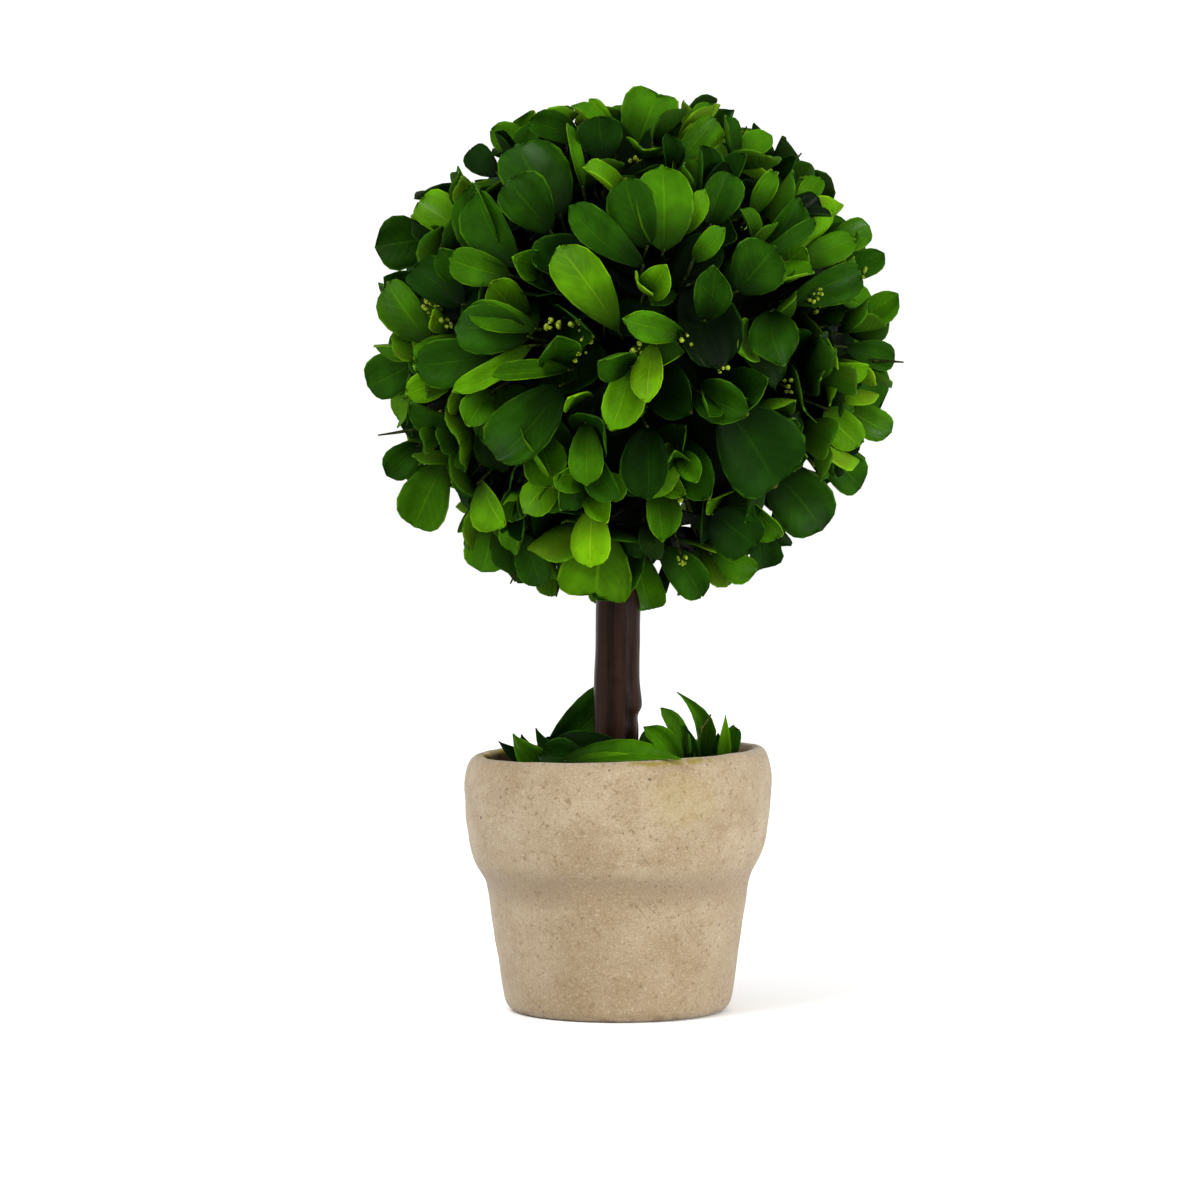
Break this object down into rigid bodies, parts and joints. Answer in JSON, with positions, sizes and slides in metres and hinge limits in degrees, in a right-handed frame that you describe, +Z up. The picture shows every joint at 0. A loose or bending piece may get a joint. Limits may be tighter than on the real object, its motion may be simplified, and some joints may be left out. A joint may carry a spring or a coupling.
{
  "type": "small preserved box topiary ball in a clay pot",
  "caption": "Small preserved box topiary: a round clipped ball of oval leaves on a bare stick, standing in a beige clay pot with a banded rim.",
  "frame": {"origin": "middle of the pot's flat underside", "axes": "+Z up along the stick, -Y towards the front, +X to the right seen from the front"},
  "size_m": [0.0875, 0.0842, 0.1524],
  "materials": {
    "clay": "matte",
    "fill": "matte",
    "bark": "satin",
    "leaf": "satin",
    "foot_leaf": "satin"
  },
  "bodies": {
    "root": {"pot": "clay", "fill": "fill", "trunk": "bark", "leaf_ball": "leaf", "foot_leaves": "foot_leaf"}
  },
  "joints": []
}
